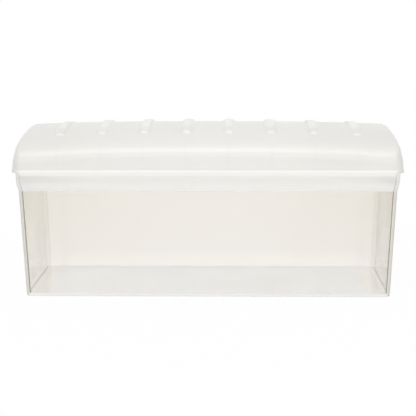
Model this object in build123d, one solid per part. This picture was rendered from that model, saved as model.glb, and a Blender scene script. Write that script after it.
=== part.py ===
from build123d import *
import math
import os

# Bread storage container: a clear tub with a stepped rim band, and a lift-off domed lid.
# Millimetres. +Z is up, X runs along the length, and the front faces -Y.
# The origin is on the surface that the box stands on, under its middle.

# Tub: overall
base_length = 360.0
base_depth = 128.0
tub_height = 133.0
draft_angle = 2.25
tub_wall = 1.8
floor_thickness = 2.2
tub_corner_radius = 5.0
base_edge_radius = 2.2

# Tub: hollow under the floor, which leaves a foot rim to stand on
foot_rim_width = 8.0
foot_rim_height = 0.8

# Tub: rim band, stepped out from the wall
band_height = 27.0
band_step_height = 6.0
band_step_out = 2.0
band_draft_angle = 0.8
band_corner_radius = 5.5

# Tub: small upright ribs inside the band, where another tub would nest
stack_rib_count_long = 9
stack_rib_count_end = 3
stack_rib_corner_margin = 30.0
stack_rib_thickness = 1.6
stack_rib_height = 12.0

# Lid: overall. Its skirt hangs over the band, clear of it, down to its lip
lid_drop = 8.5
skirt_clearance = 1.14
skirt_height = 16.5
dome_rise_at_ends = 22.4
dome_arch = 3.2
dome_arch_power = 3
lid_wall = 1.8
end_curve_radius = 76.0
shoulder_overreach = 1.0
# The dome runs through cross sections at these shares of its half length
dome_section_shares = (-1, -0.6, 0, 0.6, 1)

# Lid: bead round the lower edge
bead_height = 3.2
bead_projection = 0.6

# Lid: raised ribs over the crest
crest_rib_count = 8
crest_rib_end_margin = 44.75
crest_rib_side_margin = 25.0
crest_rib_width = 13.0
crest_rib_height = 2.6

# Lid: flange that drops inside the tub, and gussets that sit on the tub's rim
flange_thickness = 1.5
flange_clearance = 0.9
gusset_thickness = 1.6

# Overlap that makes two shapes of one moulding fuse into one solid
fuse_depth = 0.4
# How far a cutting shape runs past what it cuts
cut_margin = 2.0
# The smallest corner radius that a wall's inner face is left with
least_corner_radius = 0.3

draft_slope = math.tan(math.radians(draft_angle))
band_draft_slope = math.tan(math.radians(band_draft_angle))
band_bottom = tub_height - band_height
band_top_of_step = band_bottom + band_step_height
# A spread is how far a face lies beyond the base's edge, on each side
wall_spread = draft_slope * band_bottom
step_spread = wall_spread + band_step_out
rim_spread = step_spread + band_draft_slope * (band_height - band_step_height)
skirt_spread = rim_spread + skirt_clearance + lid_wall
skirt_length = base_length + 2 * skirt_spread
skirt_depth = base_depth + 2 * skirt_spread
lid_length = skirt_length + 2 * bead_projection
lid_depth = skirt_depth + 2 * bead_projection
skirt_corner_radius = band_corner_radius + skirt_clearance + lid_wall
lip_height = tub_height - lid_drop
shoulder_height = lip_height + skirt_height
lid_top_limit = shoulder_height + dome_rise_at_ends + dome_arch + crest_rib_height + cut_margin


def rounded_plate(length, depth, radius, height):
    """A rounded rectangle, centred, lying flat at the given height."""
    return Pos(0, 0, height) * RectangleRounded(length, depth, max(radius, least_corner_radius))


def upright_block(length, depth, radius, low, high):
    """A straight-sided block with rounded upright corners."""
    return extrude(rounded_plate(length, depth, radius, low), amount=high - low)


def row_places(count, length, margin):
    """Evenly spaced positions, centred on zero, that keep a margin to both ends of a length."""
    pitch = (length - 2 * margin) / (count - 1)
    return [(number - (count - 1) / 2) * pitch for number in range(count)]


def places_between(places):
    """Positions midway between those of a row."""
    return [(left + right) / 2 for left, right in zip(places, places[1:])]


stack_places_long = row_places(stack_rib_count_long, base_length, stack_rib_corner_margin)
stack_places_end = row_places(stack_rib_count_end, base_depth, stack_rib_corner_margin)
crest_places = row_places(crest_rib_count, lid_length, crest_rib_end_margin)


def tub_levels(inset):
    """Heights of the tub's outline, each with its spread and corner radius there."""
    return [
        (band_bottom, wall_spread - inset, tub_corner_radius - inset),
        (band_top_of_step, step_spread - inset, band_corner_radius - inset),
        (tub_height, rim_spread - inset, band_corner_radius - inset),
    ]


def tub_form(inset, bottom, top_margin):
    """The tub's outline as a solid, drawn in by inset, from the bottom height to above the rim."""
    bottom_spread = draft_slope * bottom - inset
    levels = [(bottom, bottom_spread, tub_corner_radius - inset)] + tub_levels(inset)
    plates = [
        rounded_plate(base_length + 2 * spread, base_depth + 2 * spread, radius, height)
        for height, spread, radius in levels
    ]
    form = loft(plates, ruled=True)
    if top_margin > 0:
        height, spread, radius = levels[-1]
        form += upright_block(
            base_length + 2 * spread, base_depth + 2 * spread, radius, height, height + top_margin
        )
    return form


def upright_ribs(long_places, end_places, thickness, reach, inner_spread, low, high):
    """A row of upright plates along each side, reaching outwards from the inner spread."""
    middle_height = (low + high) / 2
    side = base_depth / 2 + inner_spread + reach / 2
    end = base_length / 2 + inner_spread + reach / 2
    long_rib = Box(thickness, reach, high - low)
    end_rib = Box(reach, thickness, high - low)
    ribs = []
    for place in long_places:
        ribs += [Pos(place, sign * side, middle_height) * long_rib for sign in (-1, 1)]
    for place in end_places:
        ribs += [Pos(sign * end, place, middle_height) * end_rib for sign in (-1, 1)]
    return ribs


def stack_ribs():
    """Upright ribs inside the band, flush with the inner face of the wall below them."""
    inner_spread = wall_spread - tub_wall
    ribs = upright_ribs(
        stack_places_long,
        stack_places_end,
        stack_rib_thickness,
        rim_spread - inner_spread,
        inner_spread,
        band_bottom,
        band_bottom + stack_rib_height,
    )
    room = tub_form(tub_wall - fuse_depth, floor_thickness, 0)
    return [rib & room for rib in ribs]


def make_tub():
    """Floor, drafted walls and stepped rim band in one shell."""
    outside = tub_form(0, 0, 0)
    bottom_edges = outside.edges().group_by(Axis.Z)[0]
    outside = fillet(bottom_edges, base_edge_radius)
    shell = outside - tub_form(tub_wall, floor_thickness, cut_margin)
    foot_inset = 2 * foot_rim_width
    hollow = upright_block(
        base_length - foot_inset, base_depth - foot_inset, tub_corner_radius, -cut_margin, foot_rim_height
    )
    shell -= hollow
    return shell + stack_ribs()


def dome_section(place, inset, bottom):
    """The lid's outline across its depth at one place along the length."""
    along = abs(place) / (lid_length / 2)
    half_width = skirt_depth / 2 + shoulder_overreach - inset
    rise = dome_rise_at_ends + dome_arch * (1 - along**dome_arch_power) - inset
    walls_and_base = Polyline(
        (-half_width, shoulder_height),
        (-half_width, bottom),
        (half_width, bottom),
        (half_width, shoulder_height),
    )
    crown = EllipticalCenterArc((0, shoulder_height), half_width, rise, 0, arc_size=180)
    outline = make_face(walls_and_base + crown)
    return Plane((place, 0, 0), x_dir=(0, 1, 0), z_dir=(1, 0, 0)) * outline


def lid_form(inset, bottom):
    """The lid as a solid, drawn in by inset: a dome, trimmed by curved ends and rounded corners."""
    half_length = skirt_length / 2 - inset
    reach = half_length + cut_margin
    dome = loft([dome_section(share * reach, inset, bottom) for share in dome_section_shares])

    radius = end_curve_radius - inset
    turn = math.degrees(math.asin((lid_top_limit - lip_height) / radius))
    right_curve = CenterArc((half_length - radius, lip_height), radius, 0, turn)
    left_curve = CenterArc((radius - half_length, lip_height), radius, 180 - turn, turn)
    low = lip_height - 2 * cut_margin  # under the lowest bottom that is asked for
    lower_lines = Polyline(
        (-half_length, lip_height), (-half_length, low), (half_length, low), (half_length, lip_height)
    )
    top_line = Line(right_curve @ 1, left_curve @ 0)
    side_view = make_face(lower_lines + right_curve + top_line + left_curve)
    ends = extrude(Plane.XZ * side_view, amount=skirt_depth, both=True)

    plan = upright_block(
        skirt_length - 2 * inset,
        skirt_depth - 2 * inset,
        skirt_corner_radius - inset,
        bottom,
        lid_top_limit,
    )
    return dome & ends & plan


def crest_ribs(inset):
    """The raised ribs over the crest, drawn in by inset, as one group of solids."""
    length = lid_depth - 2 * crest_rib_side_margin
    pill = SlotOverall(length - 2 * inset, crest_rib_width - 2 * inset, rotation=90)
    posts = Part() + [
        Pos(place, 0, shoulder_height) * extrude(pill, amount=lid_top_limit - shoulder_height)
        for place in crest_places
    ]
    return posts & lid_form(inset - crest_rib_height, lip_height)


def flange():
    """The upright flange that stands inside the tub's rim and keeps the lid centred on it."""
    spread = rim_spread - tub_wall - flange_clearance
    length = base_length + 2 * spread
    depth = base_depth + 2 * spread
    radius = band_corner_radius - tub_wall - flange_clearance
    outer = upright_block(length, depth, radius, lip_height, lid_top_limit)
    inner = upright_block(
        length - 2 * flange_thickness,
        depth - 2 * flange_thickness,
        radius - flange_thickness,
        lip_height - cut_margin,
        lid_top_limit + cut_margin,
    )
    return outer - inner


def gussets():
    """Upright plates between flange and skirt, whose feet sit on the tub's rim."""
    inner_spread = rim_spread - tub_wall - flange_clearance - fuse_depth
    return upright_ribs(
        places_between(stack_places_long),
        places_between(stack_places_end),
        gusset_thickness,
        skirt_spread - inner_spread,
        inner_spread,
        tub_height,
        lid_top_limit,
    )


def make_lid():
    """Skirt, dome, crest ribs, lip bead, flange and gussets in one moulding."""
    outside = lid_form(0, lip_height) + crest_ribs(0)
    bead_radius = skirt_corner_radius + bead_projection
    outside += upright_block(lid_length, lid_depth, bead_radius, lip_height, lip_height + bead_height)
    inside = lid_form(lid_wall, lip_height - cut_margin) + crest_ribs(lid_wall)
    lid = outside - inside
    room = lid_form(lid_wall - fuse_depth, lip_height)
    return lid + [piece & room for piece in [flange()] + gussets()]


os.makedirs("parts", exist_ok=True)
export_step(make_tub(), "parts/tub.step")
export_step(make_lid(), "parts/lid.step")
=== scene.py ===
# Bread storage container: a clear tub with a frosted rim band, under a frosted domed lid.
# Metres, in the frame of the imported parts: +Z up, X along the length, the front towards -Y.
import math

import bmesh
import bpy
import numpy as np
from mathutils import Matrix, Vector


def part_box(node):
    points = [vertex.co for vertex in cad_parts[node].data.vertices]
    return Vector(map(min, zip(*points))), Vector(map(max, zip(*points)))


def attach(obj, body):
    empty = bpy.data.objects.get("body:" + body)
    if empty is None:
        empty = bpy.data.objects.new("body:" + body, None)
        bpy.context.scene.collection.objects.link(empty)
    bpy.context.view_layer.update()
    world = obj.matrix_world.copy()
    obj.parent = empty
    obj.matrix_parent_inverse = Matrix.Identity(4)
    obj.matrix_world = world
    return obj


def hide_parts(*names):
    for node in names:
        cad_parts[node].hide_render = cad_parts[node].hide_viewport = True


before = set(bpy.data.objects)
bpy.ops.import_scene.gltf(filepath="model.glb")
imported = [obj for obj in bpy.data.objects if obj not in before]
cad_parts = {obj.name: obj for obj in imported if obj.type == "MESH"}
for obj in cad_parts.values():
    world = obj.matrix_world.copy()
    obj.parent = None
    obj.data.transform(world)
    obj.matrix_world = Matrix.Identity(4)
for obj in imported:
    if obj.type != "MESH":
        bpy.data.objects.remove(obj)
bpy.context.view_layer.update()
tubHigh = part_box("tub")[1]
lidLow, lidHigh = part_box("lid")
mm = 0.001
mergeDistance = 0.002 * mm
sharpAngle = 40  # degrees, past which an edge is shaded sharp
print("stage: frame loaded")


# Surfaces on a grid: rows of points, with the columns running round the plan of the box

def sideColumns(places, along, sign):
    # One straight side: its columns have fixed places along it and face straight out of it
    fixed = np.zeros((len(places), 2))
    fixed[:, along] = places
    facing = np.zeros((len(places), 2))
    facing[:, 1 - along] = sign
    return fixed, facing, facing


def cornerColumns(signX, signY, startAngle, steps):
    # One quarter turn: its columns stand round the corner's centre and face out at even angles
    angles = np.radians(startAngle + np.linspace(0, 90, steps))
    signs = np.tile([signX, signY], (steps, 1)).astype(float)
    facing = np.stack([np.cos(angles), np.sin(angles)], axis=1)
    return np.zeros((steps, 2)), signs, facing


def planColumns(longPlaces, endPlaces, cornerSteps):
    # The closed loop of columns, from the front's left end round to it again
    runs = [
        sideColumns(longPlaces, 0, -1),
        cornerColumns(1, -1, -90, cornerSteps),
        sideColumns(endPlaces, 1, 1),
        cornerColumns(1, 1, 0, cornerSteps),
        sideColumns(longPlaces[::-1], 0, 1),
        cornerColumns(-1, 1, 90, cornerSteps),
        sideColumns(endPlaces[::-1], 1, -1),
        cornerColumns(-1, -1, 180, cornerSteps),
    ]
    fixed, signs, facing = (np.concatenate(part) for part in zip(*runs))
    return {"fixed": fixed, "signs": signs, "facing": facing}


def evenColumns(piece):
    # The loop with even columns on its sides, to the piece's own counts
    halfLong, halfEnd = piece["sideHalf"]
    countLong, countEnd = piece["sideColumns"]
    return planColumns(
        np.linspace(-halfLong, halfLong, countLong),
        np.linspace(-halfEnd, halfEnd, countEnd),
        piece["cornerColumns"],
    )


def planPoints(columns, half, spread, radius):
    # Rounded rectangle: point = fixed place + signs * reach + facing * radius, where reach is
    # half size + spread - radius, and no fixed place lies further out than the reach
    spread = np.asarray(spread, float)[..., None]
    radius = np.broadcast_to(np.asarray(radius, float)[..., None], spread.shape)
    reach = np.array(half) + spread - radius
    return np.clip(columns["fixed"], -reach, reach) + columns["signs"] * reach + columns["facing"] * radius


def spinePoints(points, spineHalf):
    # The nearest point to each column on a line along X through the middle of the plan
    spine = np.zeros_like(points)
    spine[..., 0] = np.clip(points[..., 0], -spineHalf, spineHalf)
    return spine


def arcRows(centre, radii, startAngle, endAngle, steps):
    # Profile arc: (spread, height) = centre + (radius across * cos, radius up * sin) of even angles
    angles = np.radians(np.linspace(startAngle, endAngle, steps))
    return np.stack([centre[0] + radii[0] * np.cos(angles), centre[1] + radii[1] * np.sin(angles)], axis=1)


def softStep(values, low, high):
    # 0 below low, 1 above high, and 3 s^2 - 2 s^3 of the share s between them
    share = np.clip((values - low) / (high - low), 0, 1)
    return share * share * (3 - 2 * share)


def meshPiece(name, points, quads, material):
    # One object from an array of points and an array of four-cornered faces, its doubled points merged
    mesh = bpy.data.meshes.new(name)
    mesh.vertices.add(len(points))
    mesh.vertices.foreach_set("co", points.astype(np.float32).ravel())
    mesh.loops.add(quads.size)
    mesh.loops.foreach_set("vertex_index", quads.astype(np.int32).ravel())
    mesh.polygons.add(len(quads))
    mesh.polygons.foreach_set("loop_start", np.arange(0, quads.size, 4, dtype=np.int32))
    mesh.update(calc_edges=True)
    merged = bmesh.new()
    merged.from_mesh(mesh)
    bmesh.ops.remove_doubles(merged, verts=merged.verts, dist=mergeDistance)
    merged.to_mesh(mesh)
    merged.free()
    mesh.polygons.foreach_set("use_smooth", np.ones(len(mesh.polygons), bool))
    mesh.set_sharp_from_angle(angle=math.radians(sharpAngle))
    mesh.materials.append(material)
    piece = bpy.data.objects.new(name, mesh)
    bpy.context.scene.collection.objects.link(piece)
    return piece


def ringQuads(rows, columns, closed):
    # Faces of a grid whose columns close on themselves, and whose rows do too if closed
    row = np.arange(rows if closed else rows - 1)[:, None]
    column = np.arange(columns)[None, :]
    nextRow = (row + 1) % rows
    nextColumn = (column + 1) % columns
    corners = [
        row * columns + column,
        row * columns + nextColumn,
        nextRow * columns + nextColumn,
        nextRow * columns + column,
    ]
    return np.stack(corners, axis=-1).reshape(-1, 4)


def ringPiece(name, grid, material, closed=False):
    # One object from a grid of rows x columns x 3 points
    rows, columns = grid.shape[:2]
    return meshPiece(name, grid.reshape(-1, 3), ringQuads(rows, columns, closed), material)


# Shader helpers: each adds nodes to a tree and hands back the last one or its output

def addNode(tree, kind, values=None, **settings):
    # One node, with its inputs' values by name and its settings as keywords
    node = tree.nodes.new(kind)
    for key, value in settings.items():
        setattr(node, key, value)
    for key, value in (values or {}).items():
        node.inputs[key].default_value = value
    return node


def newMaterial(name):
    # A material and its tree, emptied
    material = bpy.data.materials.new(name)
    material.use_nodes = True
    material.node_tree.nodes.clear()
    return material, material.node_tree


def objectPlace(tree):
    # Object coordinates whole, then X, Y and Z apart
    place = addNode(tree, "ShaderNodeTexCoord").outputs["Object"]
    split = addNode(tree, "ShaderNodeSeparateXYZ")
    tree.links.new(place, split.inputs["Vector"])
    return place, split.outputs["X"], split.outputs["Y"], split.outputs["Z"]


def noiseOn(tree, vector, scale, detail):
    # Cloudy noise over the vector, from 0 to 1
    noise = addNode(tree, "ShaderNodeTexNoise", {"Scale": scale, "Detail": detail})
    tree.links.new(vector, noise.inputs["Vector"])
    return noise.outputs["Fac"]


def remap(tree, value, fromPair, toPair, smooth=False):
    # Straight or smooth way from one pair of values to another
    node = addNode(
        tree,
        "ShaderNodeMapRange",
        {"From Min": fromPair[0], "From Max": fromPair[1], "To Min": toPair[0], "To Max": toPair[1]},
        interpolation_type="SMOOTHSTEP" if smooth else "LINEAR",
    )
    tree.links.new(value, node.inputs["Value"])
    return node.outputs["Result"]


def fade(tree, value, limits):
    # Mask: 0 at the first limit, 1 at the second, smooth between them and level past either
    return remap(tree, value, limits, (0, 1), smooth=True)


def maths(tree, operation, first, second=0):
    # One operation on two values, each a number or an output
    node = addNode(tree, "ShaderNodeMath", operation=operation)
    for socket, value in zip(node.inputs, (first, second)):
        if isinstance(value, (int, float)):
            socket.default_value = value
        else:
            tree.links.new(value, socket)
    return node.outputs[0]


def product(tree, first, *others):
    # The first value times each of the others
    for other in others:
        first = maths(tree, "MULTIPLY", first, other)
    return first


def away(tree, value, middle=0):
    # How far a value lies from the middle, on either side
    return maths(tree, "ABSOLUTE", maths(tree, "SUBTRACT", value, middle))


def mixColours(tree, factor, first, second):
    # first * (1 - factor) + second * factor, each a colour or an output
    node = addNode(tree, "ShaderNodeMix", data_type="RGBA")
    tree.links.new(factor, node.inputs["Factor"])
    for name, value in (("A", first), ("B", second)):
        socket = [s for s in node.inputs if s.name == name and s.type == "RGBA"][0]
        if isinstance(value, tuple):
            socket.default_value = (*value, 1)
        else:
            tree.links.new(value, socket)
    return [s for s in node.outputs if s.type == "RGBA"][0]


def layColours(tree, colour, layers):
    # Each layer is a mask and the colour that shows where the mask is 1, one laid over another
    for mask, paint in layers:
        colour = mixColours(tree, mask, colour, paint)
    return colour


def addBumps(tree, layers):
    # Bumps one on another, each given as (height, depth of the relief)
    normal = None
    for height, depth in layers:
        bump = addNode(tree, "ShaderNodeBump", {"Strength": 1.0, "Distance": depth})
        tree.links.new(height, bump.inputs["Height"])
        if normal:
            tree.links.new(normal, bump.inputs["Normal"])
        normal = bump.outputs["Normal"]
    return normal


lampTint = (0.98, 0.97, 0.95, 1)  # what a thin wall leaves of a lamp's light


def showPlastic(tree, plastic, lampShare):
    # The plastic is the surface, but rays from lamps pass it in this share, as through a thin pale wall
    clear = addNode(tree, "ShaderNodeBsdfTransparent", {"Color": lampTint})
    path = addNode(tree, "ShaderNodeLightPath")
    mix = addNode(tree, "ShaderNodeMixShader")
    tree.links.new(product(tree, path.outputs["Is Shadow Ray"], lampShare), mix.inputs["Fac"])
    tree.links.new(plastic.outputs["BSDF"], mix.inputs[1])
    tree.links.new(clear.outputs["BSDF"], mix.inputs[2])
    output = addNode(tree, "ShaderNodeOutputMaterial")
    tree.links.new(mix.outputs["Shader"], output.inputs["Surface"])
    return output


# In both plastics, a zone with a pair of places starts at the first of them and is full at the second
clearPlastic = {
    "lowColour": (0.965, 0.948, 0.935),
    "highColour": (0.953, 0.936, 0.914),
    "wallRise": (10 * mm, 100 * mm),  # from the low colour to the high one
    "sideShadeColour": (0.935, 0.915, 0.88),  # painted shade, high on the walls towards the ends
    "sideShadeFrom": (40 * mm, 150 * mm),
    "endShadeColour": (0.905, 0.887, 0.84),  # painted shade, high on the end walls
    "endShadeFrom": (170 * mm, 180 * mm),
    "floorColour": (0.94, 0.968, 0.988),
    "floorHeight": (3.4 * mm, 2.4 * mm),
    "floorReach": (172 * mm, 150 * mm),
    "cornerColour": (0.9, 0.875, 0.81),
    "cornerTurn": (0.72, 0.62),  # radians from the corner's middle
    "shadeLineColour": (0.38, 0.365, 0.335),  # painted shade: the dark lines either side of a corner
    "shadeLineTurn": 0.62,
    "shadeLineWidth": (0.14, 0.042),  # radians from the line's middle
    "nearSide": (40 * mm, -40 * mm),
    "farShare": 0.15,  # how much of the corners' haze and painted shade lines there is at the back
    "outerFace": (4.0 * mm, 4.6 * mm),  # out from the corners' centres
    "footShadeColour": (0.88, 0.877, 0.867),  # the haze along the front's base edge, darkened as painted shade
    "footHeight": (4.2 * mm, 3.2 * mm),
    "footFront": (-50 * mm, -58 * mm),
    # painted light: the foot's lowest rows paler, where its rounding turns down into shade
    "footLowLightColour": (0.945, 0.94, 0.93),
    "footLow": (2.0 * mm, 0.8 * mm),
    "bandColour": (1.0, 0.998, 0.99),
    "bandHeight": (105.6 * mm, 106.6 * mm),
    "bandTopColour": (0.99, 0.99, 0.98),
    "bandTop": (112 * mm, 119 * mm),
    "bandShadeLine": 0.5,  # how much of the painted shade line at the corners shows on the band
    "bandStep": (0, 1.8 * mm),  # how far the corners' centres follow the band's step
    "gapLightColour": (1.0, 0.998, 0.98),  # painted light: the band's upper edge under the lip, made pale against the lid's shade
    "gapHeight": (119.5 * mm, 122.5 * mm),
    "cloudNoise": (22, 3),  # scale and detail
    "grainNoise": (1400, 2),
    "waveNoise": (14, 1),
    "waveDepth": 0.25 * mm,
    "grainDepth": 0.03 * mm,
    "noiseRange": (0.3, 0.7),  # the noise in this range goes from the first to the second of a pair below
    "wallRoughness": (0.05, 0.09),
    "hazeRoughness": 0.35,
    "bandRoughness": (0.42, 0.525),
    "wallTransmission": 0.97,
    "cornerTransmission": 0.35,
    "footTransmission": 0.03,
    "bandTransmission": 0.65,
    "bandLowTransmission": 0.45,
    "gapTransmission": 0.12,
    "surface": {"IOR": 1.49},
    "inside": {"Color": (0.79, 0.745, 0.605, 1), "Density": 42.0},  # tints light on its way through
    "lampShare": 0.98,
}


def wayOut(tree, along, height, half):
    # |place on one axis| - centre of the corners there, which is at
    # height * slope of the wall + half size - corner radius, and steps out with the band
    centre = maths(tree, "ADD", product(tree, height, draftSlope), half - tub["cornerRadius"])
    stepHeights = (bandBottom, bandBottom + tub["bandStepHeight"])
    centre = maths(tree, "ADD", centre, remap(tree, height, stepHeights, clearPlastic["bandStep"]))
    return maths(tree, "SUBTRACT", maths(tree, "ABSOLUTE", along), centre)


def cornerMasks(tree, placeX, placeY, height):
    # The turn round a corner is the angle whose tangent is way out on X / way out on Y. The haze goes by
    # its distance from the corner's middle, and the painted shade line by how far that distance is from
    # the line's turn.
    look = clearPlastic
    outX = wayOut(tree, placeX, height, baseHalf[0])
    outY = wayOut(tree, placeY, height, baseHalf[1])
    fromMiddle = away(tree, maths(tree, "ARCTAN2", outX, outY), math.pi / 4)
    near = remap(tree, placeY, look["nearSide"], (look["farShare"], 1), smooth=True)
    haze = product(tree, fade(tree, fromMiddle, look["cornerTurn"]), near)
    line = product(tree, fade(tree, away(tree, fromMiddle, look["shadeLineTurn"]), look["shadeLineWidth"]), near)
    return haze, line, maths(tree, "MAXIMUM", outX, outY)


def makeClearPlastic():
    # Colours are laid one over another: wall, painted shade high on the sides and ends, floor, corners with
    # painted shade lines, foot with painted shade and painted light at its lowest rows, and band with
    # painted light under the lip. Transmission is the least of what the zones let through, and roughness is
    # the most of what they have.
    look = clearPlastic
    material, tree = newMaterial("clearPlastic")
    place, placeX, placeY, height = objectPlace(tree)
    fromMiddle = maths(tree, "ABSOLUTE", placeX)
    cloud = noiseOn(tree, place, *look["cloudNoise"])
    grain = noiseOn(tree, place, *look["grainNoise"])
    waves = noiseOn(tree, place, *look["waveNoise"])

    corner, line, outMost = cornerMasks(tree, placeX, placeY, height)
    foot = product(
        tree,
        fade(tree, outMost, look["outerFace"]),
        fade(tree, height, look["footHeight"]),
        fade(tree, placeY, look["footFront"]),
    )
    band = fade(tree, height, look["bandHeight"])
    bandTop = fade(tree, height, look["bandTop"])
    gap = fade(tree, height, look["gapHeight"])
    rise = remap(tree, height, look["wallRise"], (0, 1))
    floor = product(
        tree, fade(tree, height, look["floorHeight"]), fade(tree, fromMiddle, look["floorReach"])
    )
    footShadeColour = mixColours(
        tree, fade(tree, height, look["footLow"]), look["footShadeColour"], look["footLowLightColour"]
    )
    bandColour = layColours(tree, look["bandColour"], (
        (bandTop, look["bandTopColour"]),
        (gap, look["gapLightColour"]),
        (product(tree, line, look["bandShadeLine"]), look["shadeLineColour"]),
    ))
    colour = layColours(tree, look["lowColour"], (
        (rise, look["highColour"]),
        (product(tree, rise, fade(tree, fromMiddle, look["sideShadeFrom"])), look["sideShadeColour"]),
        (product(tree, rise, fade(tree, fromMiddle, look["endShadeFrom"])), look["endShadeColour"]),
        (floor, look["floorColour"]),
        (corner, look["cornerColour"]),
        (line, look["shadeLineColour"]),
        (foot, footShadeColour),
        (band, bandColour),
    ))
    plastic = addNode(tree, "ShaderNodeBsdfPrincipled", look["surface"])
    tree.links.new(colour, plastic.inputs["Base Color"])

    hazeRoughness = product(tree, maths(tree, "MAXIMUM", corner, foot), look["hazeRoughness"])
    wallRoughness = remap(tree, cloud, look["noiseRange"], look["wallRoughness"])
    bandRoughness = product(tree, remap(tree, grain, look["noiseRange"], look["bandRoughness"]), band)
    roughness = maths(tree, "MAXIMUM", maths(tree, "MAXIMUM", hazeRoughness, wallRoughness), bandRoughness)
    tree.links.new(roughness, plastic.inputs["Roughness"])

    clearness = look["wallTransmission"]
    zones = (
        (corner, "cornerTransmission"),
        (foot, "footTransmission"),
        (band, "bandTransmission"),
        (product(tree, band, maths(tree, "SUBTRACT", 1, bandTop)), "bandLowTransmission"),
        (gap, "gapTransmission"),
    )
    for mask, through in zones:
        limit = remap(tree, mask, (0, 1), (look["wallTransmission"], look[through]))
        clearness = maths(tree, "MINIMUM", clearness, limit)
    tree.links.new(clearness, plastic.inputs["Transmission Weight"])

    relief = [(waves, look["waveDepth"]), (product(tree, grain, band), look["grainDepth"])]
    tree.links.new(addBumps(tree, relief), plastic.inputs["Normal"])
    absorb = addNode(tree, "ShaderNodeVolumeAbsorption", look["inside"])
    output = showPlastic(tree, plastic, look["lampShare"])
    tree.links.new(absorb.outputs["Volume"], output.inputs["Volume"])
    return material


frostedPlastic = {
    "colour": (0.88, 0.87, 0.842),
    "cloudColour": (0.865, 0.855, 0.828),
    "cloudRange": (0.35, 0.65),
    # painted shade: the lid darker towards its ends
    "endShadeColour": (0.855, 0.842, 0.808),
    "endShadeFrom": (50 * mm, 150 * mm),
    "creaseShadeColour": (0.835, 0.822, 0.794),  # painted shade, in the crease just over the lip
    "creaseShadeHeight": (130.2 * mm, 128.6 * mm),
    # painted highlight: the bead of the lip paler, fading at the corners
    "lipHighlightColour": (0.945, 0.94, 0.92),
    "lipHeight": (127.4 * mm, 126.6 * mm),
    "lipHighlightReach": (185 * mm, 179 * mm),
    # painted light: the ribs paler, against the shade on their flanks
    "ribLitColour": (0.94, 0.935, 0.915),
    "ribHeight": (152 * mm, 156 * mm),
    "ribWidth": (4.6 * mm, 2.8 * mm),
    "ribReach": (40 * mm, 26 * mm),
    "spotHighlightColour": (0.955, 0.945, 0.92),  # painted highlight at the ribs' ends
    "spotWidth": (4.0 * mm, 2.4 * mm),
    "spotInner": (45.6 * mm, 47.2 * mm),
    "spotOuter": (50.0 * mm, 48.4 * mm),
    "streakShadeColour": (0.985, 0.985, 0.985),  # painted shade: faint darker streaks on shoulder and skirt, in line with the ribs
    "streakWidth": (2.4 * mm, 0.6 * mm),
    "streakTop": (154 * mm, 150 * mm),
    "streakFoot": (131 * mm, 140 * mm),
    "streakFootShare": 0.3,
    "cloudNoise": (18, 3),
    "grainNoise": (1100, 2),
    "cloudDepth": 0.1 * mm,
    "grainDepth": 0.012 * mm,
    "noiseRange": (0.3, 0.7),
    "roughness": (0.38, 0.494),
    "transmission": (0.28, 0.238),
    "surface": {"IOR": 1.49, "Specular IOR Level": 0.9, "Coat Weight": 1.0, "Coat Roughness": 0.36},
    "lampShare": 0.9,
}


def makeFrostedPlastic():
    # Colours are laid one over another: clouds, painted shade at the ends and in the crease, painted
    # highlight on the lip, painted light on the ribs, painted highlight on their ends' spots, and the
    # painted shade of the streaks darkens them. The ribs stand at half pitches, so the distance from a rib's
    # middle line is pitch * |fraction of (X / pitch) - a half|.
    look = frostedPlastic
    material, tree = newMaterial("frostedPlastic")
    place, placeX, placeY, height = objectPlace(tree)
    fromMiddle = maths(tree, "ABSOLUTE", placeX)
    fromCrest = maths(tree, "ABSOLUTE", placeY)
    cloud = noiseOn(tree, place, *look["cloudNoise"])
    grain = noiseOn(tree, place, *look["grainNoise"])

    pitch = crestPlaces[1] - crestPlaces[0]
    turns = maths(tree, "FRACT", maths(tree, "DIVIDE", placeX, pitch))
    fromRib = product(tree, away(tree, turns, 0.5), pitch)
    aloft = fade(tree, height, look["ribHeight"])
    onRib = product(
        tree, fade(tree, fromRib, look["ribWidth"]), fade(tree, fromCrest, look["ribReach"]), aloft
    )
    spot = product(
        tree,
        fade(tree, fromRib, look["spotWidth"]),
        fade(tree, fromCrest, look["spotInner"]),
        fade(tree, fromCrest, look["spotOuter"]),
        aloft,
    )
    lip = product(tree, fade(tree, height, look["lipHeight"]), fade(tree, fromMiddle, look["lipHighlightReach"]))
    streak = product(
        tree,
        fade(tree, fromRib, look["streakWidth"]),
        fade(tree, height, look["streakTop"]),
        remap(tree, height, look["streakFoot"], (look["streakFootShare"], 1), smooth=True),
    )
    colour = layColours(tree, look["colour"], (
        (remap(tree, cloud, look["cloudRange"], (0, 1)), look["cloudColour"]),
        (fade(tree, fromMiddle, look["endShadeFrom"]), look["endShadeColour"]),
        (fade(tree, height, look["creaseShadeHeight"]), look["creaseShadeColour"]),
        (lip, look["lipHighlightColour"]),
        (onRib, look["ribLitColour"]),
        (spot, look["spotHighlightColour"]),
    ))
    shaded = addNode(tree, "ShaderNodeVectorMath", operation="MULTIPLY")
    tree.links.new(colour, shaded.inputs[0])
    tree.links.new(mixColours(tree, streak, (1.0, 1.0, 1.0), look["streakShadeColour"]), shaded.inputs[1])

    plastic = addNode(tree, "ShaderNodeBsdfPrincipled", look["surface"])
    tree.links.new(shaded.outputs[0], plastic.inputs["Base Color"])
    roughness = remap(tree, grain, look["noiseRange"], look["roughness"])
    tree.links.new(roughness, plastic.inputs["Roughness"])
    transmission = remap(tree, cloud, look["noiseRange"], look["transmission"])
    tree.links.new(transmission, plastic.inputs["Transmission Weight"])
    relief = [(cloud, look["cloudDepth"]), (grain, look["grainDepth"])]
    tree.links.new(addBumps(tree, relief), plastic.inputs["Normal"])
    showPlastic(tree, plastic, look["lampShare"])
    return material


# Tub: a drafted shell on a foot rim, with a stepped-out band that has upright ribs inside it

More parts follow.
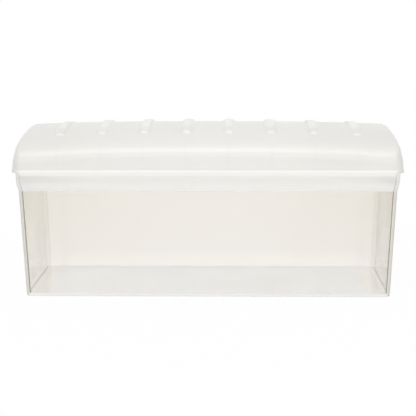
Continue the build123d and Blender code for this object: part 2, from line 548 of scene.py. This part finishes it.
tub = {
    "draft": 2.25,  # degrees
    "bandDraft": 0.8,
    "wall": 1.8 * mm,
    "floor": 2.2 * mm,
    "cornerRadius": 5.0 * mm,
    "leastRadius": 0.5 * mm,  # of the corners inside
    "baseRadius": 1.6 * mm,
    "floorRadius": 0.8 * mm,
    "footWidth": 8.0 * mm,
    "footHeight": 0.1 * mm,
    "edgeHold": 0.2 * mm,  # a row this near an edge's rounding keeps the flat beside it flat in shading
    "bandHeight": 27.0 * mm,
    "bandStep": 2.0 * mm,
    "bandStepHeight": 12.0 * mm,
    "bandDraftHeight": 21.0 * mm,  # the band's draft over this height goes into the rim's spread
    "ribsLong": 9,
    "ribsEnd": 3,
    "ribMargin": 30.0 * mm,
    "ribThickness": 1.6 * mm,
    "ribHeight": 12.0 * mm,
    "ribEdge": 0.2 * mm,  # how wide the slope is beside a rib
    "ribTopEdge": 0.15 * mm,  # half as high as the slope over it
    "ribClear": 0.5 * mm,  # no other column stands nearer to a rib than this
    "sideHalf": (168.0 * mm, 56.0 * mm),  # how far from the middle the columns on the sides reach
    "columnPitch": 4.2 * mm,
    "cornerColumns": 12,
    "wallRows": 14,
    "bandRowsFrom": 1.5 * mm,  # under the band's foot, where its own rows begin
    "bandRows": (-0.8, -0.3, 0.2, 0.8, 1.6, 2.6, 3.8, 5.2, 6.8, 8.6, 10.4, 12.4, 15, 18, 21, 23.5),
    "footRows": 6,
    "edgeRows": 9,
    "rimRows": 11,
    "spineHalf": 130.0 * mm,  # half as long as the line that closes the flats
    "spineShares": (1.0, 0.5, 0.1),  # of the way from the last row to that line
}
draftSlope = math.tan(math.radians(tub["draft"]))
bandSlope = math.tan(math.radians(tub["bandDraft"]))
rimHeight = tubHigh[2]
bandBottom = rimHeight - tub["bandHeight"]
rimSpread = draftSlope * bandBottom + tub["bandStep"] + bandSlope * tub["bandDraftHeight"]
baseHalf = (tubHigh[0] - rimSpread, tubHigh[1] - rimSpread)


def evenPlaces(count, half, margin):
    # Even places on a side, centred, that keep the margin to both of its ends
    return np.linspace(margin - half, half - margin, count)


ribPlacesLong = evenPlaces(tub["ribsLong"], baseHalf[0], tub["ribMargin"])
ribPlacesEnd = evenPlaces(tub["ribsEnd"], baseHalf[1], tub["ribMargin"])


def placesWithRibs(half, ribPlaces):
    # Even places over a side, with the places of each rib's two edges put in among them
    inner = tub["ribThickness"] / 2
    outer = inner + tub["ribEdge"]
    even = np.linspace(-half, half, int(round(2 * half / tub["columnPitch"])) + 1)
    clear = np.abs(even[:, None] - ribPlaces[None, :]).min(axis=1) > outer + tub["ribClear"]
    edges = (ribPlaces[:, None] + np.array([-outer, -inner, inner, outer])).ravel()
    return np.sort(np.concatenate([even[clear], edges]))


def outerSpread(height):
    # Wall: slope * height. Band: the wall's spread at its foot, then a quarter sine outwards over the
    # step's height, and the band's own slope * height over its foot
    wall = draftSlope * np.minimum(height, bandBottom)
    above = np.maximum(height - bandBottom, 0)
    full = rimSpread - draftSlope * bandBottom - bandSlope * tub["bandHeight"]
    bulge = full * np.sin(np.clip(above / tub["bandStepHeight"], 0, 1) * math.pi / 2)
    return wall + bulge + bandSlope * above


def tubProfile():
    # From the middle of the underside, out over the foot rim, up the wall, over the rim and down to the
    # floor. Each rounding is an arc, and between them the face is at the outer spread, less the wall inside.
    base, wall, beside = tub["baseRadius"], tub["wall"], tub["edgeHold"]
    soft = tub["footHeight"] / 2
    footOut, footIn = -tub["footWidth"] + soft, -tub["footWidth"] - soft
    baseCentre = (draftSlope * base - base / math.cos(math.atan(draftSlope)), base)
    wallTop = bandBottom - tub["bandRowsFrom"]
    bandHeights = bandBottom + np.array(tub["bandRows"]) * mm
    wallHeights = np.concatenate([np.linspace(base, wallTop, tub["wallRows"]), bandHeights])
    outer = np.concatenate([
        [(footIn - beside, tub["footHeight"])],
        arcRows((footIn, soft), (soft, soft), 90, 0, tub["footRows"]),
        arcRows((footOut, soft), (soft, soft), 180, 270, tub["footRows"])[1:],
        [(footOut + beside, 0), (baseCentre[0] - beside, 0)],
        arcRows(baseCentre, (base, base), -90, -tub["draft"], tub["edgeRows"]),
        np.stack([outerSpread(wallHeights), wallHeights], axis=1)[1:],
        arcRows((rimSpread - wall / 2, rimHeight - wall / 2), (wall / 2, wall / 2), 0, 180, tub["rimRows"]),
    ])

    corner = tub["floorRadius"]
    floorTop = tub["floor"] + corner
    floorCentre = (draftSlope * floorTop - wall - corner, floorTop)
    ribTop = bandBottom + tub["ribHeight"]
    ribRows = [ribTop - tub["ribTopEdge"], ribTop + tub["ribTopEdge"]]
    lowHeights = np.linspace(wallTop, floorTop, tub["wallRows"])
    innerHeights = np.sort(np.concatenate([bandHeights, lowHeights, ribRows]))[::-1]
    inner = np.concatenate([
        np.stack([outerSpread(innerHeights) - wall, innerHeights], axis=1),
        arcRows(floorCentre, (corner, corner), 0, -90, tub["edgeRows"])[1:],
        [(floorCentre[0] - beside, tub["floor"])],
    ])
    return outer, inner


def makeTub():
    # The profile carried round the plan. A row's corner radius is the tub's, less how far the row lies
    # inside the outer spread.
    halfLong, halfEnd = tub["sideHalf"]
    columns = planColumns(
        placesWithRibs(halfLong, ribPlacesLong), placesWithRibs(halfEnd, ribPlacesEnd), tub["cornerColumns"]
    )
    outer, inner = tubProfile()
    profile = np.concatenate([outer, inner])
    spread = np.repeat(profile[:, :1], len(columns["fixed"]), axis=1)
    heights = profile[:, 1]

    # Stack ribs: inside the band, a rib's columns keep the spread of the wall's inner face under it
    half = (tub["ribThickness"] + tub["ribEdge"]) / 2
    places = columns["fixed"]
    onLong = np.abs(places[:, :1] - ribPlacesLong).min(axis=1) < half
    onEnd = np.abs(places[:, 1:] - ribPlacesEnd).min(axis=1) < half
    onSide = np.abs(columns["signs"]).sum(axis=1) == 1
    isRib = onSide & np.where(columns["signs"][:, 0] == 0, onLong, onEnd)
    innerRow = np.arange(len(profile)) >= len(outer)
    inBand = innerRow & (heights > bandBottom) & (heights < bandBottom + tub["ribHeight"])
    ribSpread = draftSlope * bandBottom - tub["wall"]
    spread = np.where(inBand[:, None] & isRib[None, :], ribSpread, spread)

    radius = np.maximum(tub["cornerRadius"] + profile[:, 0] - outerSpread(heights), tub["leastRadius"])
    plan = planPoints(columns, baseHalf, spread, radius[:, None])

    # Both flat middles are closed by drawing the last row in to the spine
    shares = np.array(tub["spineShares"])[:, None, None]
    under = plan[:1] + (spinePoints(plan[:1], tub["spineHalf"]) - plan[:1]) * shares
    over = plan[-1:] + (spinePoints(plan[-1:], tub["spineHalf"]) - plan[-1:]) * shares[::-1]
    plan = np.concatenate([under, plan, over])
    extra = len(shares)
    heights = np.concatenate([np.full(extra, heights[0]), heights, np.full(extra, heights[-1])])
    grid = np.concatenate([plan, np.broadcast_to(heights[:, None, None], plan.shape[:2] + (1,))], axis=2)
    return ringPiece("tubShell", grid, clearMaterial)


clearMaterial = makeClearPlastic()
tubShell = makeTub()
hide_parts("tub")
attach(tubShell, "tub")
print("stage: tub made,", len(tubShell.data.polygons), "faces")


# Lid: an elliptic dome between two curved ends, over a skirt with a beaded lip, with ribs over the crest

lid = {
    "wall": 1.8 * mm,
    "beadHeight": 3.2 * mm,
    "beadProud": 0.6 * mm,
    "beadRound": 0.45 * mm,  # height of the bead's lower rounding, and the rest of it leans back
    "beadUnder": (-78, 0, 7),  # arcs and fans: degrees from and to, and how many rows
    "beadOver": (0, 84, 8),
    "edgeRadius": 0.5 * mm,  # of the lip's inner edge
    "edgeArc": (180, 262, 5),
    "skirtHeight": 16.5 * mm,
    "riseAtEnds": 22.4 * mm,
    "arch": 3.2 * mm,
    "archPower": 3,
    "shoulderDrop": 8.6 * mm,  # how much lower the shoulder lies at the ends
    "dropPower": 3,
    "endCurve": 87.0 * mm,
    "cornerRadius": 8.4 * mm,
    "creaseRadius": 2.5 * mm,
    "creaseFrom": 6.0 * mm,  # over the shoulder, where the corner starts to tighten to the crease
    "creaseTo": 16.0 * mm,
    "ribs": 8,
    "ribEndMargin": 44.75 * mm,
    "ribHalfLength": 49.0 * mm,
    "ribHalfWidth": 5.0 * mm,  # at half its height
    "ribFlank": 4.0 * mm,
    "ribRound": 0.25,  # share of the flank that is rounded at either end
    "ribHeight": 2.6 * mm,
    "ribFade": 0.42,  # how much lower the outermost ribs are
    "sideHalf": (171.0 * mm, 60.0 * mm),
    "sideColumns": (229, 49),
    "cornerColumns": 15,
    "fanDepth": 30.0 * mm,  # how far inside the skirt the fan of rays starts
    "fanHeight": 8.5 * mm,  # and how far over the lip
    "outerFan": ((2, 40, 14), (42, 72, 19), (75, 90, 6)),
    "innerFan": ((90, 80, 2), (72, 72, 1), (66, 44, 8), (38, 2, 9)),
    "skirtRows": 4,
    "skirtOuterFoot": 0.5 * mm,  # lowest row of the skirt outside, over the bead
    "skirtInnerFoot": 1.2 * mm,  # lowest row inside, over the lip
    "spineHalf": 150.0 * mm,
    "spineRows": (23, 15),  # over and under the dome
    "rayLength": 120.0 * mm,
    "rayHalvings": 34,
}
lipHeight = lidLow[2]
shoulderHeight = lipHeight + lid["skirtHeight"]
fanHeight = lipHeight + lid["fanHeight"]
lidHalf = np.array([lidHigh[0], lidHigh[1]])
skirtHalf = lidHalf - lid["beadProud"]
crestPlaces = evenPlaces(lid["ribs"], lidHalf[0], lid["ribEndMargin"])


def lidDistance(x, y, z, inset):
    # Below zero inside the lid. To the elliptic dome and the sides under it: (level - 1) / steepness, where
    # level = root of (y / half depth)^2 + (height over the shoulder / rise)^2. The shoulder drops and the
    # arch sinks by powers of the share of the way to the ends. To the ends: distance from the centre of
    # their arc in side view - its radius. Where both are within the corner radius they meet on a circle of
    # it, and over the shoulder that tightens to the crease's.
    tiny = 1e-9  # keeps the divisions clear of zero
    outwards = np.minimum(np.abs(x / lidHalf[0]), 1)
    drop = lid["shoulderDrop"] * outwards ** lid["dropPower"]
    rise = lid["riseAtEnds"] + lid["arch"] * (1 - outwards ** lid["archPower"]) + drop
    above = z - shoulderHeight + drop
    up = np.maximum(above, 0)
    level = np.sqrt((y / skirtHalf[1]) ** 2 + (up / rise) ** 2) + tiny
    steep = np.sqrt((y / skirtHalf[1] ** 2) ** 2 + (up / rise**2) ** 2) / level + tiny
    toDome = (level - 1) / steep + inset

    beyond = np.maximum(np.abs(x) - (skirtHalf[0] - lid["endCurve"]), 0)
    toEnd = np.hypot(beyond, np.maximum(z - lipHeight, 0)) - lid["endCurve"] + inset

    tighten = softStep(above, lid["creaseFrom"], lid["creaseTo"])
    radius = lid["cornerRadius"] + (lid["creaseRadius"] - lid["cornerRadius"]) * tighten - inset
    outside = np.hypot(np.maximum(toDome + radius, 0), np.maximum(toEnd + radius, 0))
    return np.minimum(np.maximum(toDome, toEnd) + radius, 0) + outside - radius


def castRays(origin, direction, inset):
    # Where each ray leaves the lid, found by halving an interval that holds the surface
    near = np.zeros(origin.shape[:2])
    far = np.full(origin.shape[:2], lid["rayLength"])
    for _ in range(lid["rayHalvings"]):
        middle = (near + far) / 2
        point = origin + direction * middle[..., None]
        inside = lidDistance(point[..., 0], point[..., 1], point[..., 2], inset) < 0
        near = np.where(inside, middle, near)
        far = np.where(inside, far, middle)
    return origin + direction * near[..., None]


def topHeight(x, y, inset):
    # The dome's height over points of the plan
    origin = np.stack([x, y, np.full_like(x, fanHeight)], axis=-1)
    straightUp = np.broadcast_to([0.0, 0.0, 1.0], origin.shape)
    return castRays(origin, straightUp, inset)[..., 2]


def evenStep(share, rounded):
    # From 0 to 1 on a straight line, which turns level by half a parabola over the rounded share at each end
    share = np.clip(share, 0, 1)
    low = np.minimum(share, rounded)
    high = np.minimum(1 - share, rounded)
    middle = np.clip(share, rounded, 1 - rounded) - rounded
    rise = low**2 / (2 * rounded) + middle + (rounded**2 - high**2) / (2 * rounded)
    return rise / (1 - rounded)


def ribRelief(x, y, inset):
    # A rib's height falls in an even step with the distance from its middle line, which ends in a half
    # circle, and a rib is smaller by the fade's share of how far out it stands in the row
    toRibs = x[..., None] - crestPlaces
    nearest = np.argmin(np.abs(toRibs), axis=-1)
    across = np.take_along_axis(toRibs, nearest[..., None], axis=-1)[..., 0]
    past = np.maximum(np.abs(y) - (lid["ribHalfLength"] - lid["ribHalfWidth"]), 0)
    distance = np.hypot(across, past) + inset
    fromMiddle = np.abs(crestPlaces[nearest])
    outwards = (fromMiddle - np.abs(crestPlaces).min()) / np.ptp(np.abs(crestPlaces))
    size = 1 - lid["ribFade"] * outwards
    flank = lid["ribFlank"] * size
    share = (distance - lid["ribHalfWidth"] + flank / 2) / flank
    return lid["ribHeight"] * size * (1 - evenStep(share, lid["ribRound"]))


def lidRows(columns, shares, elevations, heights, inset):
    # Rays start on a small plan inside the lid, or at a share of the way from it to the spine, and rise at
    # the elevations. A point is where its ray leaves the lid, with the ribs' relief added to its height.
    plan = planPoints(columns, skirtHalf, 0.0, lid["cornerRadius"])
    spine = spinePoints(plan, lid["spineHalf"])
    way = plan - spine
    outwards = way / np.linalg.norm(way, axis=-1, keepdims=True)
    start = plan - outwards * lid["fanDepth"]
    shares, elevations, heights = (np.asarray(a, float)[:, None] for a in (shares, elevations, heights))
    base = start + (spine - start) * shares[..., None]
    ones = np.ones((len(shares), len(plan)))
    origin = np.concatenate([base, (heights * ones)[..., None]], axis=2)
    level, up = np.cos(np.radians(elevations)), np.sin(np.radians(elevations))
    direction = np.concatenate([outwards * level[..., None], (up * ones)[..., None]], axis=2)
    points = castRays(origin, direction, inset)
    points[..., 2] += ribRelief(points[..., 0], points[..., 1], inset)
    return points


def lipRow(columns, offset, height):
    # One row of the lip: the skirt's plan, moved out by offset
    plan = planPoints(columns, skirtHalf, offset, lid["cornerRadius"] + offset)
    return np.concatenate([plan, np.full((len(plan), 1), height)], axis=1)


def makeLidShell():
    # Rows run from the inner crest down to the lip, round its edge and bead, and up over the outside
    columns = evenColumns(lid)
    wall, proud, edge, under = lid["wall"], lid["beadProud"], lid["edgeRadius"], lid["beadRound"]
    beadMiddle = (0, lipHeight + under)
    profile = np.concatenate([
        arcRows((edge - wall, lipHeight + edge), (edge, edge), *lid["edgeArc"]),
        arcRows(beadMiddle, (proud, under), *lid["beadUnder"]),
        arcRows(beadMiddle, (proud, lid["beadHeight"] - under), *lid["beadOver"])[1:],
    ])
    lip = np.stack([lipRow(columns, offset, height) for offset, height in profile])

    skirtRows = lid["skirtRows"]
    outerFan = np.concatenate([np.linspace(*run) for run in lid["outerFan"]])
    innerFan = np.concatenate([np.linspace(*run) for run in lid["innerFan"]])
    outerSpine = np.linspace(0, 1, lid["spineRows"][0] + 1)[1:]
    innerSpine = np.linspace(1, 0, lid["spineRows"][1] + 1)[:-1]
    outerFoot = lipHeight + lid["beadHeight"] + lid["skirtOuterFoot"]
    innerFoot = lipHeight + lid["skirtInnerFoot"]
    outer = lidRows(
        columns,
        np.concatenate([np.zeros(skirtRows + len(outerFan)), outerSpine]),
        np.concatenate([np.zeros(skirtRows), outerFan, np.full(len(outerSpine), 90.0)]),
        np.concatenate([
            np.linspace(outerFoot, fanHeight, skirtRows), np.full(len(outerFan) + len(outerSpine), fanHeight)
        ]),
        0.0,
    )
    inner = lidRows(
        columns,
        np.concatenate([innerSpine, np.zeros(len(innerFan) + skirtRows)]),
        np.concatenate([np.full(len(innerSpine), 90.0), innerFan, np.zeros(skirtRows)]),
        np.concatenate([
            np.full(len(innerSpine) + len(innerFan), fanHeight), np.linspace(fanHeight, innerFoot, skirtRows)
        ]),
        wall,
    )
    return ringPiece("lidShell", np.concatenate([inner, lip, outer]), frostedMaterial)


# Flange: an upright wall that drops inside the tub's rim. Gussets: plates from it to the skirt, over the rim
flange = {
    "thickness": 1.5 * mm,
    "clearance": 0.9 * mm,
    "cornerRadius": 2.8 * mm,
    "sunk": 0.4 * mm,  # how far its top runs into the dome's wall
    "sideHalf": (172.0 * mm, 60.0 * mm),
    "sideColumns": (115, 41),
    "cornerColumns": 9,
    "footRows": 9,
    "wallRows": 6,
    "gussetThickness": 1.6 * mm,
    "gussetRows": 6,
}
flangeSpread = rimSpread - tub["wall"] - flange["clearance"]


def makeFlange():
    # A half round foot, and two upright faces whose rows go by even shares from it to the dome's wall
    columns = evenColumns(flange)
    half, rows = flange["thickness"] / 2, flange["wallRows"]
    footHeight = lipHeight + half
    foot = arcRows((flangeSpread - half, footHeight), (half, half), 180, 360, flange["footRows"])
    shares = np.linspace(0, 1, rows + 1)[1:]
    spread = np.concatenate([
        foot[:, 0], np.full(rows, flangeSpread), np.full(rows, flangeSpread - 2 * half)
    ])
    plan = planPoints(
        columns,
        baseHalf,
        np.repeat(spread[:, None], len(columns["fixed"]), axis=1),
        (flange["cornerRadius"] + spread - flangeSpread)[:, None],
    )
    top = topHeight(plan[..., 0], plan[..., 1], lid["wall"] - flange["sunk"])
    share = np.concatenate([np.zeros(len(foot)), shares, shares[::-1]])[:, None]
    start = np.concatenate([foot[:, 1], np.full(2 * rows, footHeight)])[:, None]
    heights = start + (top - start) * share
    grid = np.concatenate([plan, heights[..., None]], axis=2)
    return ringPiece("lidFlange", grid, frostedMaterial, closed=True)


def placesBetween(places):
    # Halfway between neighbours: (place + next place) / 2
    return (places[1:] + places[:-1]) / 2


def gussetRun(places, along, side, reachFrom, reachTo):
    # For each place: even steps outwards, each with four corners, low and high on both faces of the plate
    half, rows = flange["gussetThickness"] / 2, flange["gussetRows"]
    turn = side if along == 0 else -side
    place = np.asarray(places)[:, None, None] + np.array([-half, half, half, -half]) * turn
    reach = np.linspace(reachFrom, reachTo, rows)[None, :, None] * side
    shape = (len(places), rows, 4)
    flat = np.empty(shape + (2,))
    flat[..., along] = np.broadcast_to(place, shape)
    flat[..., 1 - along] = np.broadcast_to(reach, shape)
    plan = flat.reshape(-1, 4, 2)
    top = topHeight(plan[..., 0], plan[..., 1], lid["wall"] - flange["sunk"]).reshape(shape)
    isHigh = np.array([False, False, True, True])
    return np.concatenate([flat, np.where(isHigh, top, rimHeight)[..., None]], axis=3)


def makeGussets():
    # Every plate is a tube of four-cornered rings with both its ends capped
    sunk = flange["sunk"]
    runs = []
    for side in (-1, 1):
        for places, along in ((placesBetween(ribPlacesLong), 0), (placesBetween(ribPlacesEnd), 1)):
            inner = baseHalf[1 - along] + flangeSpread - sunk
            outer = skirtHalf[1 - along] - lid["wall"] + sunk
            runs.append(gussetRun(places, along, side, inner, outer))
    plates = np.concatenate(runs)
    count, rows = plates.shape[:2]
    walls = ringQuads(rows, 4, False)
    caps = np.array([[3, 2, 1, 0], np.arange(4) + 4 * (rows - 1)])
    one = np.concatenate([walls, caps])[:, ::-1]
    quads = (one[None] + (np.arange(count) * rows * 4)[:, None, None]).reshape(-1, 4)
    return meshPiece("lidGussets", plates.reshape(-1, 3), quads, frostedMaterial)


frostedMaterial = makeFrostedPlastic()
lidPieces = [makeLidShell(), makeFlange(), makeGussets()]
for piece in lidPieces:
    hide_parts("lid")
    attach(piece, "lid")
print("stage: lid made,", [len(piece.data.polygons) for piece in lidPieces], "faces")


# Floor, light and camera

studio = {
    "floorSize": 12.0,
    "floorColour": (0.93, 0.93, 0.93),
    "mottleColour": (0.9207, 0.9207, 0.9207),
    "mottleNoise": (300, 2),
    "mottleRange": (0.3, 0.7),
    "floorWhite": 0.96,  # share of plain white that the camera sees in the floor by the box, the rest is lit
    "whiteFrom": (0.25, 0.6),  # from this far out the white's share grows, and here it is full
    "ambient": 0.67,
    "floorDrop": 0.3 * mm,  # keeps the floor just clear of the foot rim
}


def whiteRays(tree):
    # 1 for rays that the camera sees straight, mirrored or through the plastic
    path = addNode(tree, "ShaderNodeLightPath")
    seen = maths(tree, "MAXIMUM", path.outputs["Is Camera Ray"], path.outputs["Is Glossy Ray"])
    return maths(tree, "MAXIMUM", seen, path.outputs["Is Transmission Ray"])


def makeFloor():
    # Mottled paper under the lamps, mixed with plain white for the rays that the camera sees. The white's
    # share grows with the distance from the middle of the floor.
    material, tree = newMaterial("floorPaper")
    place = addNode(tree, "ShaderNodeTexCoord").outputs["Object"]
    mottle = remap(tree, noiseOn(tree, place, *studio["mottleNoise"]), studio["mottleRange"], (0, 1))
    colour = mixColours(tree, mottle, studio["floorColour"], studio["mottleColour"])
    paper = addNode(tree, "ShaderNodeBsdfDiffuse")
    tree.links.new(colour, paper.inputs["Color"])
    glow = addNode(tree, "ShaderNodeEmission", {"Color": (1, 1, 1, 1), "Strength": 1.0})
    reach = addNode(tree, "ShaderNodeVectorMath", operation="LENGTH")
    tree.links.new(place, reach.inputs[0])
    white = remap(tree, reach.outputs["Value"], studio["whiteFrom"], (studio["floorWhite"], 1), smooth=True)
    mix = addNode(tree, "ShaderNodeMixShader")
    tree.links.new(product(tree, whiteRays(tree), white), mix.inputs["Fac"])
    tree.links.new(paper.outputs["BSDF"], mix.inputs[1])
    tree.links.new(glow.outputs["Emission"], mix.inputs[2])
    output = addNode(tree, "ShaderNodeOutputMaterial")
    tree.links.new(mix.outputs["Shader"], output.inputs["Surface"])

    corners = np.array([[-1, -1, 0], [1, -1, 0], [1, 1, 0], [-1, 1, 0]]) * studio["floorSize"] / 2
    corners[:, 2] = -studio["floorDrop"]
    meshPiece("studioFloor", corners, np.array([[0, 1, 2, 3]]), material)


def makeWorld():
    # Plain white to the rays that the camera sees, and the ambient strength to all others
    world = bpy.data.worlds.new("studio")
    bpy.context.scene.world = world
    world.use_nodes = True
    tree = world.node_tree
    tree.nodes.clear()
    background = addNode(tree, "ShaderNodeBackground", {"Color": (1, 1, 1, 1)})
    strength = remap(tree, whiteRays(tree), (0, 1), (studio["ambient"], 1.0))
    tree.links.new(strength, background.inputs["Strength"])
    output = addNode(tree, "ShaderNodeOutputWorld")
    tree.links.new(background.outputs["Background"], output.inputs["Surface"])


lamps = [
    {"name": "topSoftbox", "place": (0.02, -0.74, 1.27), "size": (1.6, 0.8), "watts": 6.5},
    {"name": "frontFill", "place": (0.0, -2.2, 0.25), "size": (2.2, 0.9), "watts": 9.6},
]
lampAim = (0, 0, 0.12)


def lookAlong(place, forward, roll=0.0):
    # A matrix whose -Z runs along forward, with Y as near upright as it goes, then rolled
    forward = np.array(forward, float)
    forward /= np.linalg.norm(forward)
    right = np.cross(forward, [0, 0, 1])
    right /= np.linalg.norm(right)
    up = np.cross(right, forward)
    turned = np.stack([
        math.cos(roll) * right - math.sin(roll) * up,
        math.sin(roll) * right + math.cos(roll) * up,
        -forward,
    ], axis=1)
    matrix = np.eye(4)
    matrix[:3, :3] = turned
    matrix[:3, 3] = place
    return Matrix(matrix.tolist())


def makeLamps():
    # Rectangles of light, each turned from its place to the common aim
    for lamp in lamps:
        data = bpy.data.lights.new(lamp["name"], "AREA")
        data.shape = "RECTANGLE"
        data.size, data.size_y = lamp["size"]
        data.energy = lamp["watts"]
        light = bpy.data.objects.new(lamp["name"], data)
        light.matrix_world = lookAlong(lamp["place"], np.array(lampAim) - np.array(lamp["place"]))
        bpy.context.scene.collection.objects.link(light)


cameraView = {
    "place": (0.02813, -1.14775, 0.28123),
    "turn": 0.0253,  # radians to the left of straight ahead
    "tilt": 0.1754,  # radians down
    "roll": 0.0028,
    "lens": 97.74,  # millimetres
    "sensor": 36.0,
}


def makeCamera():
    # Forward = (-sin turn * cos tilt, cos turn * cos tilt, -sin tilt)
    turn, tilt = cameraView["turn"], cameraView["tilt"]
    forward = (
        -math.sin(turn) * math.cos(tilt),
        math.cos(turn) * math.cos(tilt),
        -math.sin(tilt),
    )
    data = bpy.data.cameras.new("photoView")
    data.lens = cameraView["lens"]
    data.sensor_width = cameraView["sensor"]
    camera = bpy.data.objects.new("photoView", data)
    camera.matrix_world = lookAlong(cameraView["place"], forward, cameraView["roll"])
    bpy.context.scene.collection.objects.link(camera)
    bpy.context.scene.camera = camera


makeFloor()
makeWorld()
makeLamps()
makeCamera()
bpy.context.scene.view_settings.view_transform = "Standard"
print("stage: studio made")
